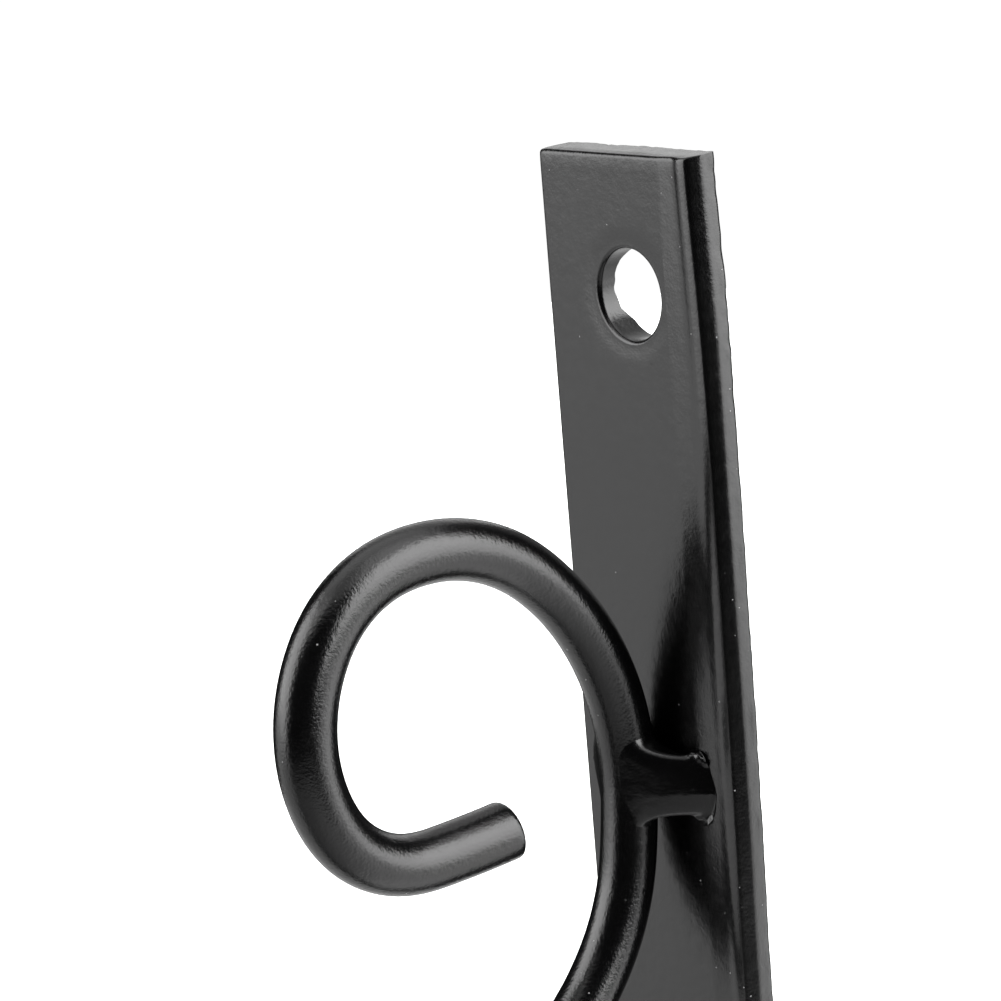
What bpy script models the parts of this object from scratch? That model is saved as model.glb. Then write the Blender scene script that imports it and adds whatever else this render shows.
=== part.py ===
# Wall bracket for a hanging plant: a flat steel bar screwed to the wall, and one round rod welded to
# its face, which curls into a scroll above the weld and sweeps out into an arm with an upturned hook below it.
# Metres, +Z up. X runs across the bar, the bar's back lies on the wall at Y = 0, and the arm points to -Y.
# The origin is on the bar's back, midway between its screw holes.

import math

import bmesh
import bpy
from mathutils import Matrix, Vector

MM = 0.001

# Gap kept between pieces that touch
JOINT_GAP = 0.3 * MM

# Distances below which two places count as one
FACE_TOLERANCE = 0.1 * MM
CAP_WELD = 0.001 * MM
POLE_WELD = 0.01 * MM

# Wall bar: flat stock, rounded along its front edges, cut square at both ends
BAR_WIDTH = 20.4 * MM
BAR_THICKNESS = 3.1 * MM
BAR_LENGTH = 150.0 * MM
FRONT_EDGE_RADIUS = 1.1 * MM
BACK_EDGE_RADIUS = 0.3 * MM

# Screw holes: punched a little to the right of the bar's middle
HOLE_DIAMETER = 8.2 * MM
HOLE_FROM_END = 12.3 * MM
HOLE_OFFSET = 1.05 * MM
HOLE_SEGMENTS = 48
PUNCH_LENGTH = 9.0 * MM

# Rod: round stock, bent in one plane, a little to the left of the bar's middle
ROD_OFFSET = -0.25 * MM
ROD_DIAMETER = 5.15 * MM
ROD_END_CHAMFER = 0.25 * MM
ROD_SIDES_RESOLUTION = 6
BEND_STEP = math.radians(6.0)

# The place where the rod runs straight down beside the bar, just above the weld
ROD_FROM_WALL = 6.15 * MM
ROD_TOUCH_BELOW_TOP = 54.7 * MM

# Bends from there up into the scroll and round to its free end: radius in mm, turn in degrees
SCROLL_BENDS = (
    (26.3, 49.4),
    (17.3, 50.2),
    (11.8, 47.1),
    (15.4, 59.9),
    (10.5, 58.2),
    (15.2, 4.2),
)
SCROLL_TAIL = 8.95 * MM

# Bends from there down past the weld and out into the arm
SWEEP_BENDS = (
    (26.3, 4.6),
    (87.0, 3.9),
    (21.7, 25.8),
    (25.0, 62.7),
)
ARM_LENGTH = 84.5 * MM

# Hook at the arm's outer end: over, down into the trough and up again
HOOK_CREST = (18.0, 41.0)
HOOK_TROUGH = (11.0, 150.0)
HOOK_TIP = 5.0 * MM

# Weld bead: a waisted lump in the corner between the rod's flank and the bar's face, one on each side
BEAD_BELOW_TOP = 56.2 * MM
BEAD_ON_ROD = Vector((1.8 * MM, -6.30 * MM))
BEAD_ON_BAR = Vector((6.5 * MM, -2.70 * MM))
BEAD_HALF_HEIGHTS = (4.0, 3.1, 2.6, 2.7, 3.35, 3.0)
BEAD_DEPTH_RATIO = 0.52
BEAD_SEGMENTS = 28

BAR_TOP = BAR_LENGTH / 2
PART_NAME = "plant_hanger_bracket"


def clear_scene():
    for scene_object in list(bpy.data.objects):
        bpy.data.objects.remove(scene_object, do_unlink=True)


def make_collection(name):
    collection = bpy.data.collections.new(name)
    bpy.context.scene.collection.children.link(collection)
    return collection


def move_to(scene_object, collection):
    for owner in list(scene_object.users_collection):
        owner.objects.unlink(scene_object)
    collection.objects.link(scene_object)


def make_material(name, colour, roughness, metallic):
    material = bpy.data.materials.new(name)
    material.use_nodes = True
    shader = material.node_tree.nodes["Principled BSDF"]
    shader.inputs["Base Color"].default_value = (*colour, 1.0)
    shader.inputs["Roughness"].default_value = roughness
    shader.inputs["Metallic"].default_value = metallic
    return material


def mark_as_cutter(scene_object, cutters):
    move_to(scene_object, cutters)
    scene_object.hide_render = True
    scene_object.display_type = "WIRE"


def add_cut(scene_object, name, cutter):
    cut = scene_object.modifiers.new(name, "BOOLEAN")
    cut.operation = "DIFFERENCE"
    cut.solver = "EXACT"
    cut.object = cutter


def add_block(name, size, location):
    bpy.ops.mesh.primitive_cube_add(size=1.0, location=location)
    block = bpy.context.object
    block.name = name
    block.data.name = name
    block.data.transform(Matrix.Diagonal((*size, 1.0)))
    return block


# A bevel on the edges whose two ends satisfy the test, rounded to the given radius
def round_edges(mesh, radius, segments, is_wanted):
    shape = bmesh.new()
    shape.from_mesh(mesh)
    wanted = [edge for edge in shape.edges if all(is_wanted(corner.co) for corner in edge.verts)]
    bmesh.ops.bevel(shape, geom=wanted, offset=radius, segments=segments, profile=0.5, affect="EDGES")
    shape.to_mesh(mesh)
    shape.free()


def build_wall_bar(part, cutters, material):
    size = (BAR_WIDTH, BAR_THICKNESS, BAR_LENGTH)
    bar = add_block("wall_bar", size, (0.0, -BAR_THICKNESS / 2, 0.0))
    front = -BAR_THICKNESS / 2
    round_edges(bar.data, FRONT_EDGE_RADIUS, 4, lambda corner: abs(corner.y - front) < FACE_TOLERANCE)
    round_edges(bar.data, BACK_EDGE_RADIUS, 2, lambda corner: abs(corner.y + front) < FACE_TOLERANCE)
    bar.data.materials.append(material)
    move_to(bar, part)
    for place, side in (("top", 1), ("bottom", -1)):
        height = side * (BAR_TOP - HOLE_FROM_END)
        bpy.ops.mesh.primitive_cylinder_add(
            vertices=HOLE_SEGMENTS,
            radius=HOLE_DIAMETER / 2,
            depth=PUNCH_LENGTH,
            location=(HOLE_OFFSET, -BAR_THICKNESS / 2, height),
            rotation=(math.pi / 2, 0.0, 0.0),
        )
        punch = bpy.context.object
        punch.name = "punch_" + place
        mark_as_cutter(punch, cutters)
        add_cut(bar, "screw hole " + place, punch)
    return bar


# The rod's middle line as (distance from the wall, height) pairs: a start, a heading, then tangent
# bends as (radius in mm, turn in degrees), turning by the given hand, and a straight run at the end
def follow_bends(start, heading, bends, hand, run):
    points = [Vector(start)]
    for radius_mm, turn_degrees in bends:
        radius = radius_mm * MM
        turn = math.radians(turn_degrees)
        steps = max(1, math.ceil(turn / BEND_STEP))
        chord_turn = hand * turn / steps
        chord = 2 * radius * math.sin(turn / steps / 2)
        for _ in range(steps):
            heading += chord_turn / 2
            points.append(points[-1] + chord * Vector((math.cos(heading), math.sin(heading))))
            heading += chord_turn / 2
    if run > 0:
        points.append(points[-1] + run * Vector((math.cos(heading), math.sin(heading))))
    return points, heading


def rod_middle_line():
    touch = (ROD_FROM_WALL, BAR_TOP - ROD_TOUCH_BELOW_TOP)
    upward, _ = follow_bends(touch, math.pi / 2, SCROLL_BENDS, -1, SCROLL_TAIL)
    sweep, heading = follow_bends(touch, -math.pi / 2, SWEEP_BENDS, 1, ARM_LENGTH)
    crest, heading = follow_bends(sweep[-1], heading, (HOOK_CREST,), -1, 0.0)
    trough, _ = follow_bends(crest[-1], heading, (HOOK_TROUGH,), 1, HOOK_TIP)
    flat = upward[:0:-1] + sweep + crest[1:] + trough[1:]
    return [Vector((ROD_OFFSET, -out, height)) for out, height in flat]


# A round wire through the points, with its two cut ends chamfered
def add_wire(name, points, radius, chamfer):
    data = bpy.data.curves.new(name, "CURVE")
    data.dimensions = "3D"
    data.bevel_depth = radius
    data.bevel_resolution = ROD_SIDES_RESOLUTION
    data.use_fill_caps = True
    first_in = points[0] + (points[1] - points[0]).normalized() * chamfer
    last_in = points[-1] + (points[-2] - points[-1]).normalized() * chamfer
    line = [points[0], first_in, *points[1:-1], last_in, points[-1]]
    wire = data.splines.new("POLY")
    wire.points.add(len(line) - 1)
    for point, place in zip(wire.points, line):
        point.co = (*place, 1.0)
    end_radius = 1.0 - chamfer / radius
    wire.points[0].radius = end_radius
    wire.points[-1].radius = end_radius
    wire.use_smooth = True
    scene_object = bpy.data.objects.new(name, data)
    bpy.context.scene.collection.objects.link(scene_object)
    return scene_object


# The mesh that a curve object evaluates to, with its caps welded on
def wire_to_mesh(wire):
    graph = bpy.context.evaluated_depsgraph_get()
    mesh = bpy.data.meshes.new_from_object(wire.evaluated_get(graph))
    shape = bmesh.new()
    shape.from_mesh(mesh)
    bmesh.ops.remove_doubles(shape, verts=shape.verts, dist=CAP_WELD)
    shape.to_mesh(mesh)
    shape.free()
    solid = bpy.data.objects.new(wire.name, mesh)
    solid.matrix_world = wire.matrix_world
    bpy.context.scene.collection.objects.link(solid)
    bpy.data.objects.remove(wire, do_unlink=True)
    return solid


def build_scroll_arm(part, material):
    origin = Vector((ROD_OFFSET, -ROD_FROM_WALL, BAR_TOP - ROD_TOUCH_BELOW_TOP))
    points = [point - origin for point in rod_middle_line()]
    arm = add_wire("scroll_arm", points, ROD_DIAMETER / 2, ROD_END_CHAMFER)
    arm.location = origin
    arm.data.materials.append(material)
    move_to(arm, part)
    return arm


def build_bead_cutters(cutters):
    rod_room = add_wire("rod_room", rod_middle_line(), ROD_DIAMETER / 2 + JOINT_GAP, ROD_END_CHAMFER)
    rod_room = wire_to_mesh(rod_room)
    mark_as_cutter(rod_room, cutters)
    depth = BAR_THICKNESS + JOINT_GAP
    bar_room = add_block("bar_room", (2 * BAR_WIDTH, 2 * depth, BAR_LENGTH), (0.0, 0.0, 0.0))
    mark_as_cutter(bar_room, cutters)
    return rod_room, bar_room


# A waisted lump, flatter than it is tall, turned round the line from the rod's flank to the bar's face
def build_weld_bead(name, side, room, part, material):
    across = BEAD_ON_BAR - BEAD_ON_ROD
    length = across.length
    count = len(BEAD_HALF_HEIGHTS)
    profile = [(0.0, length / 2)]
    for index, half_height in enumerate(BEAD_HALF_HEIGHTS):
        profile.append((half_height * MM, length / 2 - length * index / (count - 1)))
    profile.append((0.0, -length / 2))
    mesh = bpy.data.meshes.new(name)
    places = [(reach, 0.0, along) for reach, along in profile]
    mesh.from_pydata(places, [(index, index + 1) for index in range(len(places) - 1)], [])
    bead = bpy.data.objects.new(name, mesh)
    part.objects.link(bead)
    turn = bead.modifiers.new("turn", "SCREW")
    turn.axis = "Z"
    turn.steps = BEAD_SEGMENTS
    turn.render_steps = BEAD_SEGMENTS
    turn.use_merge_vertices = True
    turn.merge_threshold = POLE_WELD
    middle = (BEAD_ON_ROD + BEAD_ON_BAR) / 2
    bearing = math.atan2(across.y, across.x * side)
    bead.location = (ROD_OFFSET + middle.x * side, middle.y, BAR_TOP - BEAD_BELOW_TOP)
    bead.rotation_euler = (0.0, -math.pi / 2, bearing)
    bead.scale = (1.0, BEAD_DEPTH_RATIO, 1.0)
    for cutter in room:
        add_cut(bead, "fits " + cutter.name, cutter)
    mesh.materials.append(material)
    return bead


def build():
    clear_scene()
    part = make_collection(PART_NAME)
    cutters = make_collection("cutters")
    coated_bar = make_material("black powder coat on the bar", (0.012, 0.012, 0.013), 0.34, 0.0)
    coated_rod = make_material("black powder coat on the rod", (0.011, 0.011, 0.012), 0.30, 0.0)
    coated_weld = make_material("black powder coat on the welds", (0.010, 0.010, 0.011), 0.28, 0.0)
    build_wall_bar(part, cutters, coated_bar)
    build_scroll_arm(part, coated_rod)
    room = build_bead_cutters(cutters)
    build_weld_bead("weld_right", 1, room, part, coated_weld)
    build_weld_bead("weld_left", -1, room, part, coated_weld)
    bpy.context.view_layer.update()


build()
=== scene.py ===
import bpy, bmesh, math
import numpy as np
from mathutils import Matrix


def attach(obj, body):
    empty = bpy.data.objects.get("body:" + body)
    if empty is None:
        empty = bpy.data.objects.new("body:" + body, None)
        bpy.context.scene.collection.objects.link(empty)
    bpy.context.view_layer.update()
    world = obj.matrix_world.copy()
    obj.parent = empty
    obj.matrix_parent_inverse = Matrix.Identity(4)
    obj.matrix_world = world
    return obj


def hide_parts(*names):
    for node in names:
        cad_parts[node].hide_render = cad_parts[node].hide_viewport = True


# A steel wall bracket for a hanging plant, powder coated black: a flat bar with two screw holes, a bent rod
# and two weld beads. Sizes are in millimetres and turn into metres when a mesh is made.

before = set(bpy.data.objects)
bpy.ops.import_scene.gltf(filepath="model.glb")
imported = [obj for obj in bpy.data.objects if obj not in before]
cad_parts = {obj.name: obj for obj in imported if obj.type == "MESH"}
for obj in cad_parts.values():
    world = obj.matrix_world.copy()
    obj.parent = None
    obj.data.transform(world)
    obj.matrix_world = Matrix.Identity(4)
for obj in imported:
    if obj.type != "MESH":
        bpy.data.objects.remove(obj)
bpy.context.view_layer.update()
mm = 0.001
print("frame loaded:", sorted(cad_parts))


def smoothNoise(seed, count, spread):
    # random numbers along a line, blurred by a bell of the given spread and brought to a swing of about one
    margin = 4 * spread
    values = np.random.default_rng(seed).normal(size=count + 2 * margin)
    bell = np.exp(-0.5 * (np.arange(-3 * spread, 3 * spread + 1) / spread) ** 2)
    values = np.convolve(values, bell / bell.sum(), "same")[margin:margin + count]
    return values / values.std()


def gridFaces(rows, columns, closed=True):
    # four corners of each cell of a grid stored row by row; closed joins the last column to the first
    cellsAcross = columns if closed else columns - 1
    row, column = np.meshgrid(np.arange(rows - 1), np.arange(cellsAcross), indexing="ij")
    beside = (column + 1) % columns
    cells = np.stack([row * columns + column, row * columns + beside,
                      (row + 1) * columns + beside, (row + 1) * columns + column], -1)
    return cells.reshape(-1, 4)


def makePiece(name, patches, weld=0.002, smoothBelow=50.0):
    # patches are (points, faces) pairs in millimetres; points nearer than weld are made one, and edges that
    # turn by less than smoothBelow degrees are shaded smooth
    points, faces, first = [], [], 0
    for patchPoints, patchFaces in patches:
        points.append(patchPoints.reshape(-1, 3))
        faces.append(patchFaces + first)
        first += len(points[-1])
    points, faces = np.concatenate(points) * mm, np.concatenate(faces)
    mesh = bpy.data.meshes.new(name)
    mesh.vertices.add(len(points))
    mesh.vertices.foreach_set("co", points.ravel())
    mesh.loops.add(faces.size)
    mesh.loops.foreach_set("vertex_index", faces.ravel())
    mesh.polygons.add(len(faces))
    mesh.polygons.foreach_set("loop_start", np.arange(0, faces.size, 4))
    mesh.polygons.foreach_set("loop_total", np.full(len(faces), 4))
    mesh.update(calc_edges=True)
    shape = bmesh.new()
    shape.from_mesh(mesh)
    bmesh.ops.remove_doubles(shape, verts=shape.verts, dist=weld * mm)
    bmesh.ops.dissolve_degenerate(shape, edges=shape.edges, dist=weld * mm / 4)
    bmesh.ops.recalc_face_normals(shape, faces=shape.faces)
    shape.to_mesh(mesh)
    openEdges = sum(1 for edge in shape.edges if len(edge.link_faces) != 2)
    shape.free()
    mesh.shade_smooth()
    mesh.set_sharp_from_angle(angle=math.radians(smoothBelow))
    piece = bpy.data.objects.new(name, mesh)
    bpy.context.scene.collection.objects.link(piece)
    print(f"{name}: {len(mesh.polygons)} faces, {openEdges} open edges")
    return piece


# Camera and studio

view = {
    "azimuth": 53.25, "elevation": 12.72, "roll": -4.84,   # degrees
    "place": (206.05, -171.90, 105.37),                    # mm
    "lens": 111.18, "sensor": 36.0, "seesFrom": 10.0,      # mm
}


def setCamera():
    # azimuth and elevation give the arrow from the object back to the camera; the level and upright arrows
    # across it are then turned about it by the roll
    azimuth, elevation, roll = (math.radians(view[name]) for name in ("azimuth", "elevation", "roll"))
    back = np.array([math.sin(azimuth) * math.cos(elevation), -math.cos(azimuth) * math.cos(elevation),
                     math.sin(elevation)])
    level = np.array([math.cos(azimuth), math.sin(azimuth), 0.0])
    upright = np.cross(back, level)
    right = math.cos(roll) * level + math.sin(roll) * upright
    up = math.cos(roll) * upright - math.sin(roll) * level
    data = bpy.data.cameras.new("camera")
    data.lens, data.sensor_width, data.clip_start = view["lens"], view["sensor"], view["seesFrom"] * mm
    camera = bpy.data.objects.new("camera", data)
    turned = np.eye(4)
    turned[:3, :3] = np.stack([right, up, back], 1)
    turned[:3, 3] = np.array(view["place"]) * mm
    camera.matrix_world = Matrix(turned.tolist())
    bpy.context.scene.collection.objects.link(camera)
    bpy.context.scene.camera = camera


setCamera()
print("camera set")


class Wire:
    # a node socket that can be added to, taken from, multiplied and divided, each making a Math node
    def __init__(self, tree, socket=None):
        self.tree, self.socket = tree, socket

    def node(self, kind, settings=None, sockets=None, output=0):
        # a new node: its settings first, then a value or a link for each of its sockets
        made = self.tree.nodes.new(kind)
        for name, value in (settings or {}).items():
            if name == "stops":
                self.setStops(made.color_ramp, value)
            else:
                setattr(made, name, value)
        for name, value in (sockets or {}).items():
            if isinstance(value, Wire):
                self.tree.links.new(value.socket, made.inputs[name])
            else:
                made.inputs[name].default_value = value
        return Wire(self.tree, made.outputs[output])

    def setStops(self, ramp, stops):
        # a colour ramp's stops as (position, grey) pairs
        while len(ramp.elements) < len(stops):
            ramp.elements.new(0.5)
        for element, (position, grey) in zip(ramp.elements, stops):
            element.position, element.color = position, (grey, grey, grey, 1.0)

    def maths(self, operation, first, second=None):
        # a Math node on one or two values
        sockets = {0: first} if second is None else {0: first, 1: second}
        return self.node("ShaderNodeMath", {"operation": operation}, sockets)

    def __add__(self, other):
        return self.maths("ADD", self, other)

    __radd__ = __add__

    def __sub__(self, other):
        return self.maths("SUBTRACT", self, other)

    def __rsub__(self, other):
        return self.maths("SUBTRACT", other, self)

    def __mul__(self, other):
        return self.maths("MULTIPLY", self, other)

    __rmul__ = __mul__

    def __truediv__(self, other):
        return self.maths("DIVIDE", self, other)

    def __rtruediv__(self, other):
        return self.maths("DIVIDE", other, self)

    def ramp(self, low, high):
        # 0 below low, 1 above high, smooth between
        return self.node("ShaderNodeMapRange", {"interpolation_type": "SMOOTHSTEP", "clamp": True},
                         {"Value": self, "From Min": low, "From Max": high})


studio = {
    "white": 1.02,          # the white behind the object, as the camera sees it
    "gloom": 0.02,          # what the unlit parts of the room send back
    # soft boxes and sheets: azimuth from and to, elevation from and to, strength, fade in degrees each way
    "panels": (
        (-60.0, -11.0, -1.0, 47.0, 5.1, 6.0, 5.0),
        (-42.0, -12.0, -10.0, -1.0, 2.2, 7.0, 4.0),
        (-67.0, -9.0, -23.0, -1.0, 1.23, 7.0, 4.0),
        (-14.0, 14.0, 40.0, 58.0, 2.2, 6.0, 5.0),
        (90.0, 149.0, -4.0, 50.0, 5.8, 4.0, 5.0),
        (95.0, 147.0, 14.0, 46.0, 1.4, 8.0, 8.0),
        (116.0, 150.0, -14.0, -4.0, 2.8, 8.0, 4.0),
        (108.0, 160.0, -27.0, -4.0, 1.35, 7.0, 5.0),
        (130.0, 158.0, -27.0, -13.0, 1.4, 4.0, 4.0),
        (-165.0, -106.0, 9.0, 44.0, 0.8, 8.0, 6.0),
        (-165.0, -106.0, 4.0, 18.0, 0.6, 8.0, 4.0),
    ),
    # light from the pale table and from the ceiling: the elevations over which each fades, and its strength
    # by azimuth
    "tableBelow": (-29.0, -19.0),
    "table": ((-180, 1.0), (-110, 1.0), (-22, 1.0), (-2, 0.5), (32, 0.5), (70, 0.85), (97, 1.1),
              (118, 1.9), (142, 1.9), (165, 0.9), (180, 1.0)),
    "ceilingAbove": (42.0, 58.0),
    "ceiling": ((-180, 1.3), (-150, 1.4), (-50, 1.6), (0, 0.9), (60, 0.8), (92, 2.4), (150, 2.4), (180, 1.3)),
}


def setWorld():
    # the room is worked out from the direction looked in: azimuth = arctan of x over -y, and
    # elevation = arcsine of z
    world = bpy.data.worlds.new("studio")
    world.use_nodes = True
    tree = world.node_tree
    tree.nodes.clear()
    start = Wire(tree)
    direction = start.node("ShaderNodeTexCoord", output="Generated")
    x, y, z = (start.node("ShaderNodeSeparateXYZ", sockets={0: direction}, output=axis) for axis in range(3))
    degrees = 180 / math.pi
    azimuth = start.maths("ARCTAN2", x, 0 - y) * degrees
    elevation = start.maths("ARCSINE", z) * degrees

    def panel(left, right, bottom, top, strength, fadeAcross, fadeAlong):
        # a box with soft edges: a rising and a falling ramp across, times a rising and a falling ramp along
        across = azimuth.ramp(left - fadeAcross, left + fadeAcross)
        across = across * (1 - azimuth.ramp(right - fadeAcross, right + fadeAcross))
        along = elevation.ramp(bottom - fadeAlong, bottom + fadeAlong)
        along = along * (1 - elevation.ramp(top - fadeAlong, top + fadeAlong))
        return across * along * strength

    def byAzimuth(table, brightest=4.0):
        # a strength read from a table by azimuth, scaled down by the brightest to fit a ramp and up again
        stops = [((angle + 180) / 360, strength / brightest) for angle, strength in table]
        return start.node("ShaderNodeValToRGB", {"stops": stops}, {0: (azimuth + 180) / 360}) * brightest

    room = (1 - elevation.ramp(*studio["tableBelow"])) * byAzimuth(studio["table"]) + studio["gloom"]
    room = room + elevation.ramp(*studio["ceilingAbove"]) * byAzimuth(studio["ceiling"])
    for spec in studio["panels"]:
        room = room + panel(*spec)
    seen = start.node("ShaderNodeBackground", sockets={"Color": (1, 1, 1, 1), "Strength": studio["white"]})
    mirrored = start.node("ShaderNodeBackground", sockets={"Color": (1, 1, 1, 1), "Strength": room})
    looking = start.node("ShaderNodeLightPath", output="Is Camera Ray")
    mixed = start.node("ShaderNodeMixShader", sockets={0: looking, 1: mirrored, 2: seen})
    tree.links.new(mixed.socket, tree.nodes.new("ShaderNodeOutputWorld").inputs["Surface"])
    bpy.context.scene.world = world
    bpy.context.scene.view_settings.view_transform = "Standard"
    bpy.context.scene.view_settings.look = "None"


floor = {
    "height": -420.0, "radius": 3000.0, "rings": 12, "spokes": 96,
    "colour": (0.85, 0.85, 0.85), "roughness": 0.9, "glow": 0.7,
}


def layFloor():
    # a round pale sheet as rings about its middle: x = radius cos turn, y = radius sin turn
    radii = np.linspace(0, floor["radius"], floor["rings"])[:, None]
    turn = np.linspace(0, 2 * np.pi, floor["spokes"], endpoint=False)[None, :]
    points = np.stack(np.broadcast_arrays(radii * np.cos(turn), radii * np.sin(turn), floor["height"]), -1)
    sheet = makePiece("floor", [(points[::-1], gridFaces(floor["rings"], floor["spokes"]))])
    pale = bpy.data.materials.new("pale floor")
    pale.use_nodes = True
    shader = pale.node_tree.nodes["Principled BSDF"]
    shader.inputs["Base Color"].default_value = (*floor["colour"], 1.0)
    shader.inputs["Roughness"].default_value = floor["roughness"]
    shader.inputs["Emission Color"].default_value = (1.0, 1.0, 1.0, 1.0)
    shader.inputs["Emission Strength"].default_value = floor["glow"]
    sheet.data.materials.append(pale)
    sheet.visible_glossy = False


setWorld()
layFloor()
print("studio ready")


# Powder coat

coat = {
    "dark": (0.0006, 0.0006, 0.0007), "light": (0.0011, 0.0011, 0.0012), "lightFrom": (0.35, 0.65),
    "roughness": 0.215, "roughnessSwing": 0.08, "roughnessGrain": 0.10,
    # scales are in cells of noise per mm, heights and depths in mm
    "swellScale": 0.09, "swellHeight": 0.05,
    "peelScale": 0.9, "peelHeight": 0.022,
    "grainScale": 4.0, "grainHeight": 0.015,
    # specks of dust and pits: cells per mm, spot size as a share of a cell, and the share of cells that
    # have one
    "dustScale": 0.80, "dustSize": 0.070, "dustShare": 0.07, "dustHeight": 0.02,
    "dustColour": (0.20, 0.20, 0.20),
    "edgeFrom": (6.5, 9.5), "edgeShare": 0.0,       # more specks near the bar's sheared side, by x
    "pitScale": 0.60, "pitSize": 0.060, "pitShare": 0.12, "pitDepth": 0.04,
    "spotCore": 0.6,        # how much of a spot is full before it fades
}


def powderCoat(name, look):
    # height = grain + peel + swell + dust - pits, each times its own height; the colour goes from dark to
    # light with the swell and to grey on the dust, and the roughness swings with peel and grain
    material = bpy.data.materials.new(name)
    material.use_nodes = True
    tree = material.node_tree
    tree.nodes.clear()
    start = Wire(tree)
    place = start.node("ShaderNodeTexCoord", output="Object")
    place = start.node("ShaderNodeVectorMath", {"operation": "SCALE"}, {0: place, "Scale": 1 / mm})

    def cloud(scale, detail, roughness=0.5):
        # soft noise between 0 and 1
        return start.node("ShaderNodeTexNoise", None,
                          {"Vector": place, "Scale": scale, "Detail": detail, "Roughness": roughness})

    def dots(scale, size, share, step=0.001):
        # round spots of the given size, in those cells whose random number is below the share
        settings = {"feature": "F1"}
        sockets = {"Vector": place, "Scale": scale, "Randomness": 1.0}
        distance = start.node("ShaderNodeTexVoronoi", settings, sockets, "Distance")
        pick = start.node("ShaderNodeTexVoronoi", settings, sockets, "Color")
        pick = start.node("ShaderNodeSeparateColor", None, {0: pick})
        return (1 - distance.ramp(size * look["spotCore"], size)) * (1 - pick.ramp(share, share + step))

    def mix(share, first, second):
        # one colour turned into another; 6 and 7 are the node's colour sockets and 2 is its colour result
        return start.node("ShaderNodeMix", {"data_type": "RGBA"}, {0: share, 6: first, 7: second}, 2)

    grain = cloud(look["grainScale"], detail=2.0, roughness=0.6)
    peel = cloud(look["peelScale"], detail=1.0)
    swell = cloud(look["swellScale"], detail=2.0)
    across = start.node("ShaderNodeSeparateXYZ", None, {0: place})
    share = look["dustShare"] + across.ramp(*look["edgeFrom"]) * look["edgeShare"]
    dust = dots(look["dustScale"], look["dustSize"], share)
    pits = dots(look["pitScale"], look["pitSize"], look["pitShare"])
    height = grain * look["grainHeight"] + peel * look["peelHeight"] + swell * look["swellHeight"]
    height = height + dust * look["dustHeight"] - pits * look["pitDepth"]
    normal = start.node("ShaderNodeBump", None, {"Strength": 1.0, "Distance": mm, "Height": height}, "Normal")
    tone = mix(swell.ramp(*look["lightFrom"]), (*look["dark"], 1.0), (*look["light"], 1.0))
    tone = mix(dust, tone, (*look["dustColour"], 1.0))
    gloss = look["roughness"] + (peel - 0.5) * look["roughnessSwing"] + (grain - 0.5) * look["roughnessGrain"]
    shader = start.node("ShaderNodeBsdfPrincipled", None,
                        {"Base Color": tone, "Roughness": gloss, "Normal": normal, "Specular IOR Level": 0.5})
    tree.links.new(shader.socket, tree.nodes.new("ShaderNodeOutputMaterial").inputs["Surface"])
    return material


barCoat = powderCoat("black powder coat on the bar", {**coat, "edgeShare": 0.8})
rodCoat = powderCoat("black powder coat on the rod",
                     {**coat, "roughness": 0.20, "grainHeight": 0.034, "dustShare": 0.35})
weldCoat = powderCoat("black powder coat on the welds", {**coat, "roughness": 0.20, "peelHeight": 0.035})
print("powder coats mixed")


# Wall bar

bar = {
    "width": 20.4, "thickness": 3.1, "length": 150.0,
    # each long edge from the face to the back, as (length, turning angle) runs; the right one is sheared:
    # sink, lip, rolled corner, sheared side, torn side, burr. The left one is square.
    "rightEdge": ((2.00, 3.0), (0.75, -4.0), (0.10, 3.0), (0.88, 12.0), (1.16, 63.0), (1.48, 91.0),
                  (0.30, 135.0), (0.30, 180.0)),
    "rightTopEdge": ((2.00, 4.0), (0.75, -12.0), (0.10, 3.0), (0.80, 13.0), (1.34, 62.0), (1.30, 91.0),
                     (0.30, 135.0), (0.30, 180.0)),
    "topEdgeFrom": (43.0, 70.0),    # heights between which the right edge turns into that of the top
    "leftEdge": ((1.20, 0.0), (0.25, 6.0), (0.22, 45.0), (2.60, 88.0), (0.20, 135.0), (0.50, 180.0)),
    "rightSoftness": 0.16, "leftSoftness": 0.07,     # how far the corners of each edge are rounded off
    # how far the right side stands out by height
    "bowHeights": (-75, 5, 13, 21, 29, 37, 45, 53, 59.5, 66, 71, 75.3),
    "bowRight": (0.0, 0.30, 0.45, 0.54, 0.57, 0.57, 0.57, 0.56, 0.50, 0.28, 0.03, -0.14),
    # the bow and the nibbles fade over this strip: its distance from the side, and its width
    "sideStrip": 4.0, "sideFade": 3.0,
    "nibble": 0.035, "nibbleDepth": 1.0, "nibbleSpan": 76.0, "nibbleMarks": 900,    # the nibbled back corners
    # the sheared ends: height and depth of the roll-over, rounding of the front edge, and how high the front
    # and back edges stand from the left side to the right
    "endRoll": 1.5, "endRollDepth": 0.06, "endRound": 0.32,
    "endPlaces": (-10.3, -9.9, -9.3, -6.5, -4.0, 3.0, 5.6, 10.3),
    "endFront": (-0.25, 0.02, 0.09, 0.07, 0.05, 0.0, -0.02, -0.10),
    "endBack": (-0.05, 0.20, 0.28, 0.33, 0.25, 0.25, 0.16, 0.16),
    "endCurve": 0.5, "burrHeight": 0.02, "burrSpan": 11.0, "burrMarks": 220,
    # how finely the bar is divided
    "edgePoints": 24, "flatColumns": 48, "rowHeight": 0.8, "capRows": 9,
    "plainRows": 4, "rollRows": 8, "roundRows": 7, "smoothBelow": 38.0,
}
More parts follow.
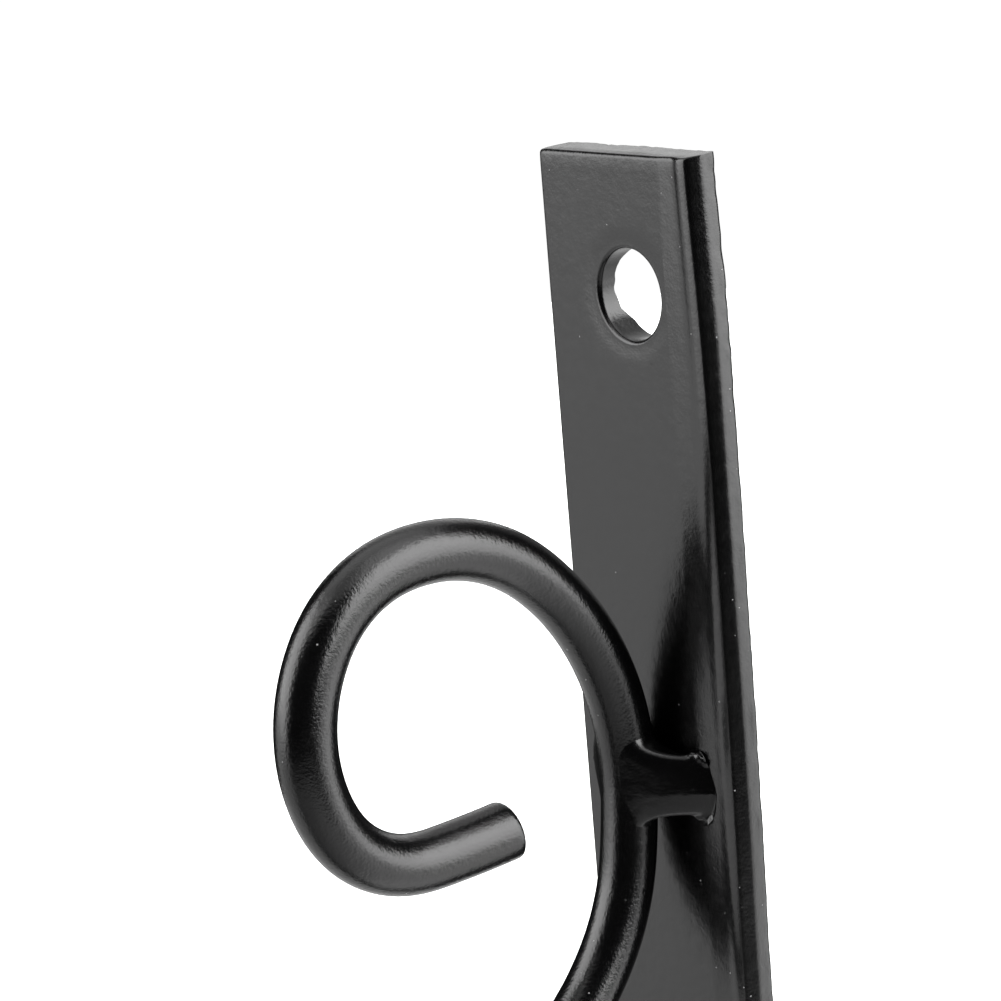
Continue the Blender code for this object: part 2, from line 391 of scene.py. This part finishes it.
hole = {
    "x": 0.97, "height": 62.7, "radius": 4.08,
    # by angle round the hole: radius of its lip, and depth of the straight wall behind which it opens out
    "angles": (0, 60, 110, 130, 150, 175, 190, 205, 225, 250, 290, 360),
    "lips": (0.32, 0.33, 0.35, 0.38, 0.43, 0.48, 0.48, 0.43, 0.38, 0.35, 0.33, 0.32),
    "depths": (2.6, 2.6, 2.45, 2.25, 1.85, 1.95, 2.05, 2.2, 2.95, 2.95, 2.8, 2.6),
    "openingSlope": 1.42, "ragged": 0.06, "raggedMarks": 240,
    "drawDepth": 0.09, "drawReach": 1.1,    # how the face is drawn in round the hole
    # half width and rows of the square patch round the hole, its rings, and how they crowd towards the hole
    "patch": 9.0, "patchRows": 52,
    "rings": 26, "lipRings": 7, "wallRings": 14, "flareRings": 8, "backRings": 14,
    "faceCrowding": 1.6, "backCrowding": 1.3,
}


def turnedOutline(runs, softness, step=0.005, crowding=0.02):
    # an outline as the running sum of small steps: each step heads along its run's angle, and the corners
    # between runs are rounded by blurring the heading. The crowd grows by the step and by the turn in it
    lengths, angles = np.array(runs).T
    along = np.arange(step / 2, lengths.sum(), step)
    heading = angles[np.minimum(np.searchsorted(np.cumsum(lengths), along), len(angles) - 1)]
    reach = int(3 * softness / step)
    bell = np.exp(-0.5 * (np.arange(-reach, reach + 1) * step / softness) ** 2)
    heading = np.convolve(np.pad(heading, reach, mode="edge"), bell / bell.sum(), "valid")
    bearing = np.radians(heading)
    across = np.concatenate([[0.0], np.cumsum(np.cos(bearing)) * step])
    inward = np.concatenate([[0.0], np.cumsum(np.sin(bearing)) * step])
    crowd = np.concatenate([[0.0], np.cumsum(step + np.abs(np.gradient(heading)) * crowding)])
    return across, inward, crowd


def crowded(across, inward, crowd, first, last, count):
    # points between two places of an outline, closer together where it turns: even steps of the crowd
    marks = np.interp(np.linspace(crowd[first], crowd[last], count), crowd, np.arange(len(crowd)))
    index = np.arange(len(crowd))
    return np.stack([np.interp(marks, index, across), np.interp(marks, index, inward)], -1)


def barSections(rows):
    # front and back halves of the section at every row, each from the bar's left side to its right; the right
    # edge of the top is mixed in by height
    def edge(name, softness):
        # an edge's front and back parts, which meet where it stands out furthest
        across, inward, crowd = turnedOutline(bar[name], bar[softness])
        inward = inward * bar["thickness"] / inward[-1]
        outermost = int(across.argmax())
        across = across - across[outermost] + bar["width"] / 2
        inward = inward - bar["thickness"]
        front = crowded(across, inward, crowd, 0, outermost, bar["edgePoints"])
        back = crowded(across, inward, crowd, outermost, len(across) - 1, bar["edgePoints"])[::-1]
        return front, back

    def half(leftEdge, rightEdge):
        # the mirrored left edge, a straight stretch and the right edge
        share = np.linspace(0, 1, bar["flatColumns"] + 1)[1:-1, None]
        leftEdge = leftEdge[::-1] * [-1, 1]
        flat = leftEdge[-1] * (1 - share) + rightEdge[0] * share
        return np.concatenate([leftEdge, flat, rightEdge])

    low, high = bar["topEdgeFrom"]
    near = np.clip((rows - low) / (high - low), 0, 1)
    near = (near * near * (3 - 2 * near))[:, None, None]
    left = edge("leftEdge", "leftSoftness")
    usual, top = (edge(name, "rightSoftness") for name in ("rightEdge", "rightTopEdge"))
    sections = [(half(left[side], usual[side]), half(left[side], top[side])) for side in (0, 1)]
    return [(1 - near) * lower + near * upper for lower, upper in sections]


def barRows():
    # heights of the rows: close together at the ends and beside the holes
    top, roll, rounded = bar["length"] / 2, bar["endRoll"], bar["endRound"]
    low, high = hole["height"] - hole["patch"], hole["height"] + hole["patch"]
    middle = np.linspace(-low, low, 1 + 2 * round(low / bar["rowHeight"]))
    patch = np.linspace(low, high, hole["patchRows"] + 1)
    plain = np.linspace(high, top - roll, bar["plainRows"] + 1)[1:]
    rolled = np.linspace(top - roll, top - rounded, bar["rollRows"] + 1)[1:]
    turn = np.linspace(0, math.pi / 2, bar["roundRows"] + 1)[1:]
    upper = np.concatenate([patch[1:], plain, rolled, top - rounded + rounded * np.sin(turn)])
    return np.concatenate([-upper[::-1], middle, upper])


def shearEnds(points):
    # the sheared ends: the face rolls over by the square of the nearness to the end, a quarter circle rounds
    # its front edge, and the end stands out from front to back by two tables across the bar and a ragged burr
    x, y, z = points[..., 0], points[..., 1], points[..., 2]
    top, roll, rounded = bar["length"] / 2, bar["endRoll"], bar["endRound"]
    near = np.clip((np.abs(z) - (top - roll)) / roll, 0, 1)
    turned = np.clip((np.abs(z) - (top - rounded)) / rounded, 0, 1)
    front = np.clip(-y / bar["thickness"], 0, 1)
    inset = (bar["endRollDepth"] * near ** 2 + rounded * (1 - np.sqrt(1 - turned ** 2))) * front
    marks = np.linspace(-bar["burrSpan"], bar["burrSpan"], bar["burrMarks"])
    ripple = bar["burrHeight"] * np.interp(x, marks, smoothNoise(4, len(marks), 2))
    low, high = (np.interp(x, bar["endPlaces"], bar[name]) for name in ("endFront", "endBack"))
    behind = 1 - front
    rise = near ** 3 * (low + (high - low) * behind ** bar["endCurve"] + ripple * behind ** 5)
    return np.stack([x, y + inset, z + np.sign(z) * rise], -1)


def bowSides(points):
    # both back corners are nibbled by noise along the bar, and the right side bows out by a table of heights;
    # both fade away from the side
    x, y, z = points[..., 0], points[..., 1], points[..., 2]
    marks = np.linspace(-bar["nibbleSpan"], bar["nibbleSpan"], bar["nibbleMarks"])
    side = np.clip((np.abs(x) - bar["width"] / 2 + bar["sideStrip"]) / bar["sideFade"], 0, 1)
    back = np.clip((y + bar["nibbleDepth"]) / bar["nibbleDepth"], 0, 1)
    right, left = (np.interp(z, marks, smoothNoise(seed, len(marks), 2)) for seed in (11, 12))
    ragged = np.where(x > 0, right, left)
    bow = np.where(x > 0, np.interp(z, bar["bowHeights"], bar["bowRight"]), 0)
    shift = np.sign(x) * side * (bar["nibble"] * ragged * back + bow)
    return np.stack([x + shift, y, z], -1)


def holeRings(front, back, rows, rowIndex, side):
    # rings that run from the square patch on the face, over the hole's lip, along its wall, out through the
    # opened back and over the back to the same square
    first, last = bar["edgePoints"] - 1, bar["edgePoints"] - 1 + bar["flatColumns"]
    columns, low, high = np.arange(first, last + 1), rowIndex[0], rowIndex[1]
    levels = np.arange(low, high + 1)
    columnRing = np.concatenate([columns[:-1], np.full(len(levels) - 1, last), columns[:0:-1],
                                 np.full(len(levels) - 1, first)])
    rowRing = np.concatenate([np.full(len(columns) - 1, low), levels[:-1], np.full(len(columns) - 1, high),
                              levels[:0:-1]])
    zRing = rows[rowRing]
    frontX, backX = front[rowRing, columnRing, 0], back[rowRing, columnRing, 0]
    middleZ = side * hole["height"]
    angle = np.arctan2(zRing - middleZ, frontX - hole["x"])
    circle = np.stack([np.cos(angle), np.sin(angle)], -1)
    turn = np.degrees(angle) % 360
    turn = turn if side > 0 else (360 - turn) % 360
    wallDepth = np.interp(turn, hole["angles"], hole["depths"])
    noise = smoothNoise(21 if side > 0 else 22, hole["raggedMarks"], 3)
    ragged = np.interp(turn, np.linspace(0, 360, hole["raggedMarks"]), noise)
    wallDepth = wallDepth + hole["ragged"] * ragged * (1 - np.abs(turn - 180) / 180)
    radius, thick, draw = hole["radius"], bar["thickness"], hole["drawDepth"]
    lip = np.interp(turn, hole["angles"], hole["lips"])
    face = -thick + draw
    opened = radius + (thick - wallDepth) * hole["openingSlope"]

    def ring(reach, y):
        # a ring round the hole's middle
        flat = np.array([hole["x"], middleZ]) + reach[:, None] * circle
        return np.stack([flat[:, 0], np.broadcast_to(y, len(flat)), flat[:, 1]], -1)

    def blend(edgeX, y, rim, share):
        # a ring between the square (share 0) and the rim (share 1)
        edge = np.stack([edgeX, np.full(len(edgeX), y), zRing], -1)
        return (1 - share) * edge + share * ring(rim, y)

    shares = 1 - (1 - np.linspace(0, 1, hole["rings"])) ** hole["faceCrowding"]
    rings = [blend(frontX, -thick, radius + lip, share) for share in shares]
    # the face is drawn in by a bell of the distance beyond the lip. At the square's right side the bell is
    # still up to 0.07 mm, so a fine slit stays open there between the square and the rest of the face
    for patchRing in rings:
        beyond = np.hypot(patchRing[:, 0] - hole["x"], patchRing[:, 2] - middleZ) - radius - lip
        patchRing[:, 1] += draw * np.exp(-(beyond / hole["drawReach"]) ** 2)
    for bend in np.linspace(0, math.pi / 2, hole["lipRings"] + 1)[1:]:
        rings.append(ring(radius + lip * (1 - math.sin(bend)), face + lip * (1 - math.cos(bend))))
    for share in np.linspace(0, 1, hole["wallRings"])[1:]:
        rings.append(ring(np.full(len(angle), radius), face + lip + (wallDepth - draw - lip) * share))
    for share in np.linspace(0, 1, hole["flareRings"] + 1)[1:]:
        y = -thick + wallDepth + (thick - wallDepth) * share
        rings.append(ring(radius + (opened - radius) * share, y))
    shares = (1 - np.linspace(0, 1, hole["backRings"])[1:]) ** hole["backCrowding"]
    rings += [blend(backX, 0.0, opened, share) for share in shares]
    return np.stack(rings), len(angle)


def buildBar():
    # the section carried up the bar, less a square patch round each hole on both faces, plus the rings that
    # fill those squares and a cap at each end
    rows = barRows()
    front, back = barSections(rows)
    count = front.shape[1]
    loop = np.concatenate([front, back[:, -2:0:-1]], axis=1)
    around = loop.shape[1]
    tube = np.concatenate([loop, np.broadcast_to(rows[:, None, None], (len(rows), around, 1))], -1)
    faces = gridFaces(len(rows), around)
    patchEnds = []
    for side in (-1, 1):
        ends = sorted(side * (hole["height"] + s * hole["patch"]) for s in (-1, 1))
        patchEnds.append([int(np.abs(rows - end).argmin()) for end in ends])
    row, column = faces[:, 0] // around, faces[:, 0] % around
    first, flat = bar["edgePoints"] - 1, bar["flatColumns"]
    onFront = (column >= first) & (column < first + flat)
    onBack = (column >= count - 1 + first) & (column < count - 1 + first + flat)
    inPatch = np.zeros(len(faces), bool)
    for low, high in patchEnds:
        inPatch |= (row >= low) & (row < high)
    patches = [(tube, faces[~((onFront | onBack) & inPatch)])]
    for side, ends in zip((-1, 1), patchEnds):
        rings, ringCount = holeRings(front, back, rows, ends, side)
        patches.append((rings, gridFaces(len(rings), ringCount)))
    share = np.linspace(0, 1, bar["capRows"])[:, None, None]
    for level in (0, -1):
        cap = (1 - share) * front[level] + share * back[level]
        cap = np.concatenate([cap, np.full((*cap.shape[:2], 1), rows[level])], -1)
        patches.append((cap, gridFaces(bar["capRows"], count, closed=False)))
    patches = [(bowSides(shearEnds(points)), corners) for points, corners in patches]
    return makePiece("wall_bar_surface", patches, smoothBelow=bar["smoothBelow"])


wallBar = buildBar()
wallBar.data.materials.append(barCoat)
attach(wallBar, "root")
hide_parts("wall_bar")
print("wall bar made")


# Rod

rod = {
    "x": -0.25, "diameter": 5.15, "fromWall": 6.15, "touchHeight": 20.3,
    # bends as (radius, degrees): up into the scroll, whose straight tail ends in a slight bend
    "scroll": ((26.3, 49.4), (17.3, 50.2), (11.8, 47.1), (15.4, 59.9), (10.5, 58.2), (15.2, 7.4)),
    "tail": 2.95, "tailBend": (95.0, 3.0),
    # and down into the straight arm and its hook
    "sweep": ((26.3, 4.6), (87.0, 3.9), (21.7, 25.8), (25.0, 62.7)), "arm": 84.5,
    "crest": (18.0, 41.0), "trough": (11.0, 150.0), "tip": 5.0,
    "softness": 1.2,                # how far one bend runs over into the next
    "endRound": 0.28, "freeRound": (0.10, 0.75),    # rounding of the tip, and of the free end at foot and top
    # how much thicker the rod is in the plane of its bends, by distance from the free end
    "ovalPlaces": (0.0, 4.0, 8.0, 30.0, 48.0, 58.0, 66.0),
    "ovals": (0.05, 0.045, 0.035, 0.05, 0.045, 0.04, 0.0),
    # how finely the rod is divided
    "ringStep": 0.7, "ringPoints": 64, "cornerRings": 6, "hubRings": 7, "rimGap": 0.2,
    "weld": 0.001, "smoothBelow": 60.0,
}


def bentLine(runs, heading, step=0.02):
    # a bent line as the running sum of small steps whose heading follows the table of (length, turn) runs,
    # blurred by a bell so that one bend runs over into the next
    lengths, turns = np.array(runs).T
    knots = np.concatenate([[0.0], np.cumsum(lengths)])
    headings = heading + np.concatenate([[0.0], np.cumsum(turns)])
    along = np.arange(step / 2, knots[-1], step)
    bearing = np.radians(np.interp(along, knots, headings))
    reach = int(2 * rod["softness"] / step)
    bell = np.exp(-0.5 * (np.arange(-reach, reach + 1) * step / rod["softness"]) ** 2)
    bearing = np.pad(bearing, reach, mode="reflect", reflect_type="odd")
    bearing = np.convolve(bearing, bell / bell.sum(), "valid")
    line = np.stack([np.cumsum(np.cos(bearing)), np.cumsum(np.sin(bearing))], -1) * step
    return np.concatenate([[[0.0, 0.0]], line]), np.concatenate([bearing[:1], bearing])


def rodLine():
    # distance from the wall, height and heading of the rod's middle line, from the free end to the hook's tip
    def bends(table, hand):
        # (radius, degrees) bends as (length, turn) runs: length = radius times the turn in radians
        return [(radius * math.radians(turn), hand * turn) for radius, turn in table]

    scroll = bends(rod["scroll"], -1) + [(rod["tail"], 0.0)] + bends([rod["tailBend"]], -1)
    hook = bends([rod["crest"]], -1) + bends([rod["trough"]], 1) + [(rod["tip"], 0.0)]
    up, upBearing = bentLine(scroll, 90.0)
    down, downBearing = bentLine(bends(rod["sweep"], 1) + [(rod["arm"], 0.0)] + hook, -90.0)
    line = np.concatenate([up[:0:-1], down]) + [rod["fromWall"], rod["touchHeight"]]
    bearing = np.concatenate([upBearing[:0:-1] + math.pi, downBearing])
    length = np.concatenate([[0.0], np.cumsum(np.hypot(*np.diff(line, axis=0).T))])
    return line, bearing, length


def buildRod():
    # rings carried along the middle line; each end closes over a rounded rim to a flat square cut
    line, bearing, length = rodLine()
    radius = rod["diameter"] / 2
    turn = np.linspace(0, 2 * math.pi, rod["ringPoints"], endpoint=False)
    corner = np.linspace(0, math.pi / 2, rod["cornerRings"] + 1)[1:, None]
    hub = np.linspace(1, 0, rod["hubRings"] + 1)[1:, None]

    def endRings(rim):
        # how far in from the end and how far out from the middle line, from the rod's skin to its middle
        reach = np.concatenate([radius - rim + rim * np.cos(corner), (radius - rim) * hub])
        depth = np.concatenate([rim - rim * np.sin(corner), 0 * rim * hub])
        return depth, reach

    foot, top = rod["freeRound"]
    freeDepth, freeReach = endRings(foot + (top - foot) * (1 + np.sin(turn)) / 2)
    tipDepth, tipReach = endRings(np.full(len(turn), rod["endRound"]))
    ringCount = round(length[-1] / rod["ringStep"])
    inner = np.linspace(freeDepth.max() + rod["rimGap"], length[-1] - rod["endRound"], ringCount)
    inner = np.broadcast_to(inner[:, None], (len(inner), len(turn)))
    along = np.concatenate([freeDepth[::-1], inner, length[-1] - tipDepth])
    reach = np.concatenate([freeReach[::-1], np.full(inner.shape, radius), tipReach])
    out, height, facing = (np.interp(along, length, values) for values in (line[:, 0], line[:, 1], bearing))
    sideways = np.cos(turn) * reach
    edgeways = np.sin(turn) * reach * (1 + np.interp(along, rod["ovalPlaces"], rod["ovals"]))
    points = np.stack([rod["x"] + sideways, np.sin(facing) * edgeways - out,
                       height + np.cos(facing) * edgeways], -1)
    patches = [(points, gridFaces(len(along), len(turn)))]
    return makePiece("scroll_arm_surface", patches, rod["weld"], rod["smoothBelow"])


scrollArm = buildRod()
scrollArm.data.materials.append(rodCoat)
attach(scrollArm, "root")
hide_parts("scroll_arm")
print("scroll arm made")


# Weld beads

bead = {
    "height": 18.8,
    # footprint on the rod: middle and half width in degrees, height above and below the middle, and how it
    # fills its corners: 1 is round, less is squarer
    "rodAngle": 10.0, "rodSpread": 74.0, "rodHeights": (4.9, 3.8), "squareness": 0.60,
    # middle, half width and half height of each bead's footprint on the bar
    "footprints": {"weld_right": (6.1, 2.1, 3.6), "weld_left": (6.4, 2.3, 3.4)},
    "inRod": 0.02, "inBar": 0.03,   # how far the skin starts inside the rod and ends inside the bar
    # how strongly the bead runs along the rod and the bar where it joins them: across and up
    "leave": (2.6, 4.8), "land": (1.0, 3.6),
    "wobble": 0.06, "wobbleMarks": 90, "lump": 0.02,
    # the front bulges by this many mm, and from a soft ridge downwards it falls back by this slope
    "bulge": 0.24, "ridge": 0.45, "fallBack": 0.14, "ridgeSoftness": 0.6,
    # how steeply the push grows from the rod, fades to the bar, and lets the fall back begin
    "riseAtRod": 12, "fadeAtBar": 10, "fallBackRise": 3,
    # spatter and bubbles as (place round the bead in degrees, place from rod to bar, height, radius in mm)
    "bubbles": ((72, 0.90, 0.40, 0.45), (86, 0.80, 0.25, 0.35), (-62, 0.93, 0.45, 0.50),
                (-78, 0.82, 0.30, 0.35), (55, 0.97, 0.30, 0.30), (-95, 0.45, 0.12, 0.25),
                (10, 0.72, 0.05, 0.18)),
    # the stretch of the rod's line that the bead can reach: height either way, and distance from the wall
    "besideHeight": 12, "besideWall": 14,
    # how finely the bead is divided, and how deep its hidden ends lie
    "around": 128, "strands": 56, "hubRings": 4, "hubDepth": 0.6, "weld": 0.001, "smoothBelow": 75.0,
}


def buildBead(name, side, seed, footprint):
    # each strand is a cubic curve that leaves the rod along its skin and lands on the bar; waves and bubbles,
    # bells of the given radius, then push the skin out along its own direction
    turn = np.linspace(0, 2 * math.pi, bead["around"], endpoint=False)
    line, _, _ = rodLine()
    offHeight, offWall = np.abs(line[:, 1] - bead["height"]), line[:, 0]
    nearWeld = line[(offHeight < bead["besideHeight"]) & (offWall < bead["besideWall"])]
    nearWeld = nearWeld[np.argsort(nearWeld[:, 1])]
    radius = rod["diameter"] / 2 - bead["inRod"]
    barX, barHalfWidth, barHalfHeight = footprint

    def onRod(swing, lift):
        # a place on the rod's skin by angle round it and height
        angle = np.radians(bead["rodAngle"] + swing)
        z = bead["height"] + lift
        out = np.interp(z, nearWeld[:, 1], nearWeld[:, 0])
        return np.stack([rod["x"] + side * radius * np.cos(angle), -out + radius * np.sin(angle), z], -1)

    def unit(arrows):
        # arrows brought to a length of one
        return arrows / np.linalg.norm(arrows, axis=-1, keepdims=True)

    swing = bead["rodSpread"] * np.sign(np.cos(turn)) * np.abs(np.cos(turn)) ** bead["squareness"]
    lift = np.abs(np.sin(turn)) ** bead["squareness"]
    lift = np.where(np.sin(turn) > 0, bead["rodHeights"][0], -bead["rodHeights"][1]) * lift
    within = 0.94       # a slightly smaller footprint, which shows the way in along the rod's skin
    start, startIn = onRod(-swing, lift), onRod(-swing * within, lift * within)
    marks = np.linspace(0, 2 * math.pi, bead["wobbleMarks"])
    wobble = 1 + bead["wobble"] * np.interp(turn, marks, smoothNoise(seed, len(marks), 4))
    footX = rod["x"] + side * (barX + barHalfWidth * np.cos(turn) * wobble)
    footZ = bead["height"] + barHalfHeight * np.sin(turn) * wobble
    finish = np.stack([footX, np.full(len(turn), -bar["thickness"] + bead["inBar"]), footZ], -1)
    outward = unit(np.stack([footX - rod["x"] - side * barX, 0 * turn, footZ - bead["height"]], -1))
    leave = unit(startIn - start) * [bead["leave"][0], bead["leave"][0], bead["leave"][1]]
    land = outward * [bead["land"][0], 1.0, bead["land"][1]] + [0, bead["land"][0], 0]
    t = np.linspace(0, 1, bead["strands"])[:, None, None]
    strands = ((2 * t ** 3 - 3 * t ** 2 + 1) * start + (t ** 3 - 2 * t ** 2 + t) * leave
               + (3 * t ** 2 - 2 * t ** 3) * finish + (t ** 3 - t ** 2) * land)
    along = np.gradient(strands, axis=0)
    across = np.roll(strands, -1, axis=1) - np.roll(strands, 1, axis=1)
    nearNought = 1e-9       # keeps the length of an arrow above nought
    skin = unit(np.cross(along, across) + nearNought)
    heart = strands.mean(1, keepdims=True)
    skin = skin * np.sign((skin * (strands - heart)).sum(-1).mean())
    share, degrees = t[..., 0], np.degrees(turn)[None, :]
    rise = np.clip(share * bead["riseAtRod"], 0, 1)
    fade = rise * np.clip((1 - share) * bead["fadeAtBar"], 0, 1)
    # three waves round the bead that swell and sink from rod to bar, and five smaller ones that lean
    waves = (np.sin(np.radians(3 * degrees) + seed) * np.sin(5.3 * share + 0.4)
             + 0.6 * np.sin(np.radians(5 * degrees) + 9 * share))
    below = (bead["height"] + bead["ridge"] - strands[..., 2]) / bead["ridgeSoftness"]
    below = np.logaddexp(0, below) * bead["ridgeSoftness"]
    push = (bead["lump"] * waves + bead["bulge"] * np.sin(math.pi * share)
            - bead["fallBack"] * below * np.clip(share * bead["fallBackRise"], 0, 1)) * fade
    for place, reach, height, size in bead["bubbles"]:
        spot = strands[int(reach * (bead["strands"] - 1)), int(place % 360 / 360 * bead["around"])]
        push = push + height * np.exp(-((strands - spot) ** 2).sum(-1) / size ** 2) * rise
    strands = strands + skin * push[..., None]
    hub = np.linspace(0, 1, bead["hubRings"] + 1)[:-1, None, None]
    rodHeart = start.mean(0) - [side * bead["hubDepth"], 0, 0]
    barHeart = strands[-1].mean(0) + [0, bead["hubDepth"], 0]
    closing = (barHeart + (strands[-1] - barHeart) * hub)[::-1]
    rings = np.concatenate([rodHeart + (start - rodHeart) * hub, strands, closing])
    patches = [(rings, gridFaces(len(rings), bead["around"]))]
    return makePiece(name, patches, bead["weld"], bead["smoothBelow"])


for name, side, seed in (("weld_right", 1, 31), ("weld_left", -1, 32)):
    weld = buildBead(name + "_surface", side, seed, bead["footprints"][name])
    weld.data.materials.append(weldCoat)
    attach(weld, "root")
    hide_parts(name)
print("weld beads made")
